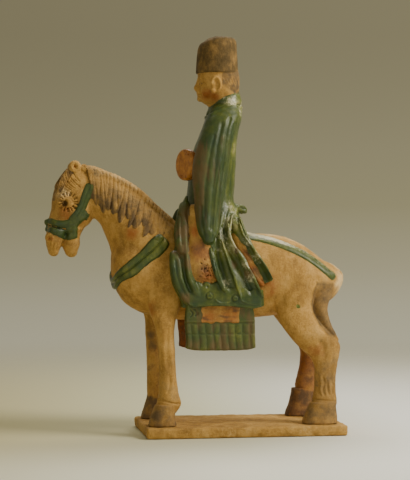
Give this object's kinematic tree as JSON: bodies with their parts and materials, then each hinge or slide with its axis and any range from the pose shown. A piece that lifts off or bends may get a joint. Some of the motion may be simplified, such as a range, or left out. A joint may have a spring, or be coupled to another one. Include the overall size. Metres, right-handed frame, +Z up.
{
  "type": "pottery horseback musician figure",
  "caption": "Glazed pottery tomb figure of a musician with a small drum on a standing horse, on a thin slab plinth.",
  "frame": {"origin": "middle of the plinth's underside", "axes": "+Z up, the horse faces -X, its left side faces -Y"},
  "size_m": [0.2866, 0.108, 0.375],
  "materials": {
    "glazed_pottery": "bare buff clay with green lead glaze on the robe and harness",
    "bare_pottery": "rough unglazed buff clay"
  },
  "bodies": {
    "root": {"horse_and_rider": "glazed_pottery", "plinth": "bare_pottery"}
  },
  "joints": []
}
